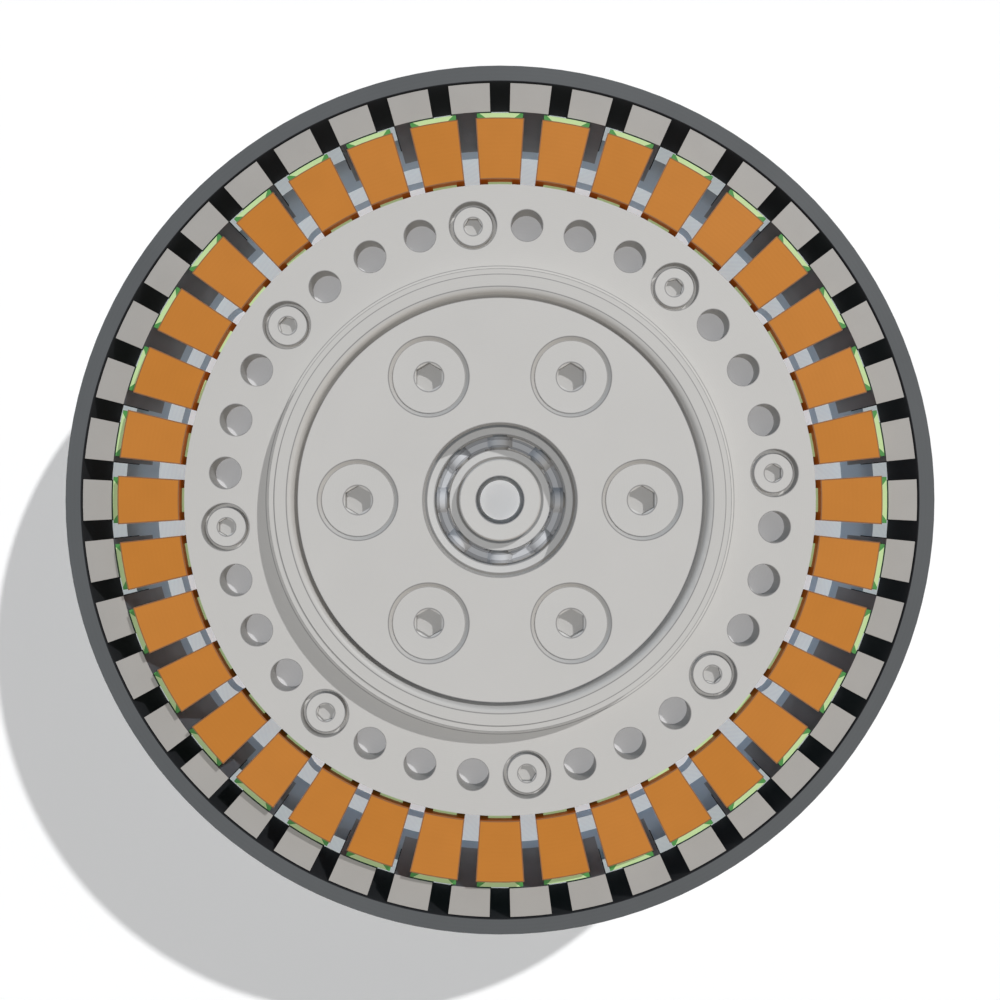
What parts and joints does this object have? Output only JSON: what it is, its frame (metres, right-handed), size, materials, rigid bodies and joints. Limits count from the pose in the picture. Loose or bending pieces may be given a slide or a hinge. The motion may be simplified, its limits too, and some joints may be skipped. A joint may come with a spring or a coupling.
{
  "type": "rotary actuator",
  "caption": "Open-frame outrunner motor with a hollow shaft and a planetary gear inside the stator that turns a flush output disc within a flanged, drilled front plate.",
  "frame": {"origin": "on the shaft axis, in the plane of the rotor's back", "axes": "+Z along the shaft out of the output disc, +Y up in the picture, +X to the right"},
  "size_m": [0.128, 0.128, 0.0422],
  "materials": {
    "plate_aluminium": "fine turned, clear anodised",
    "cup_aluminium": "fine turned, pale anodised",
    "flux_steel": "black oxide",
    "magnet_nickel": "nickel plated",
    "core_enamel": "epoxy coated laminations",
    "winding_copper": "enamelled copper wire",
    "shaft_steel": "ground",
    "gear_steel": "hobbed",
    "bush_bronze": "oil-filled bronze",
    "screw_steel": "stainless",
    "race_steel": "ground and polished",
    "cage_steel": "pressed"
  },
  "bodies": {
    "stator": {"front_plate": "plate_aluminium", "stator_hub": "plate_aluminium", "stator_core": "core_enamel", "coils_a": "winding_copper", "coils_b": "winding_copper", "coils_c": "winding_copper", "ring_gear": "gear_steel", "bearing_retainer": "shaft_steel", "plate_screws": "screw_steel", "output_bearing_outer": "race_steel", "rear_bearing_outer": "race_steel"},
    "rotor": {"rotor_cup": "cup_aluminium", "flux_ring": "flux_steel", "magnets_north": "magnet_nickel", "magnets_south": "magnet_nickel", "sun_shaft": "shaft_steel", "rotor_screws": "screw_steel", "rear_bearing_inner": "race_steel", "centre_bearing_inner": "race_steel"},
    "carrier": {"output_flange": "plate_aluminium", "planet_carrier": "shaft_steel", "planet_pins": "shaft_steel", "output_screws": "screw_steel", "output_circlip": "shaft_steel", "output_bearing_inner": "race_steel", "centre_bearing_outer": "race_steel"},
    "output_cage": {"output_bearing_balls": "race_steel", "output_bearing_cage": "cage_steel"},
    "centre_cage": {"centre_bearing_balls": "race_steel", "centre_bearing_cage": "cage_steel"},
    "rear_cage": {"rear_bearing_balls": "race_steel", "rear_bearing_cage": "cage_steel"},
    "planet_1": {"planet_gear_1": "gear_steel", "planet_bush_1": "bush_bronze"},
    "planet_2": {"planet_gear_2": "gear_steel", "planet_bush_2": "bush_bronze"},
    "planet_3": {"planet_gear_3": "gear_steel", "planet_bush_3": "bush_bronze"}
  },
  "joints": [
    {"name": "rotor_spin", "type": "hinge", "parent": "stator", "child": "rotor", "pos_m": [0, 0, 0], "axis": [0, 0, 1], "continuous": true},
    {"name": "output_spin", "type": "hinge", "parent": "stator", "child": "carrier", "pos_m": [0, 0, 0], "axis": [0, 0, 1], "continuous": true},
    {"name": "planet_1_spin", "type": "hinge", "parent": "carrier", "child": "planet_1", "pos_m": [0.02025, 0, 0], "axis": [0, 0, 1], "continuous": true},
    {"name": "planet_2_spin", "type": "hinge", "parent": "carrier", "child": "planet_2", "pos_m": [-0.01013, 0.01754, 0], "axis": [0, 0, 1], "continuous": true},
    {"name": "planet_3_spin", "type": "hinge", "parent": "carrier", "child": "planet_3", "pos_m": [-0.01013, -0.01754, 0], "axis": [0, 0, 1], "continuous": true},
    {"name": "output_cage_spin", "type": "hinge", "parent": "stator", "child": "output_cage", "pos_m": [0, 0, 0], "axis": [0, 0, 1], "continuous": true},
    {"name": "centre_cage_spin", "type": "hinge", "parent": "stator", "child": "centre_cage", "pos_m": [0, 0, 0], "axis": [0, 0, 1], "continuous": true},
    {"name": "rear_cage_spin", "type": "hinge", "parent": "stator", "child": "rear_cage", "pos_m": [0, 0, 0], "axis": [0, 0, 1], "continuous": true}
  ],
  "couplings": [
    {"joint": "output_spin", "follows": "rotor_spin", "ratio": 0.16667},
    {"joint": "planet_1_spin", "follows": "rotor_spin", "ratio": -0.41667},
    {"joint": "planet_2_spin", "follows": "rotor_spin", "ratio": -0.41667},
    {"joint": "planet_3_spin", "follows": "rotor_spin", "ratio": -0.41667},
    {"joint": "output_cage_spin", "follows": "rotor_spin", "ratio": 0.076957},
    {"joint": "centre_cage_spin", "follows": "rotor_spin", "ratio": 0.5098},
    {"joint": "rear_cage_spin", "follows": "rotor_spin", "ratio": 0.42821}
  ]
}
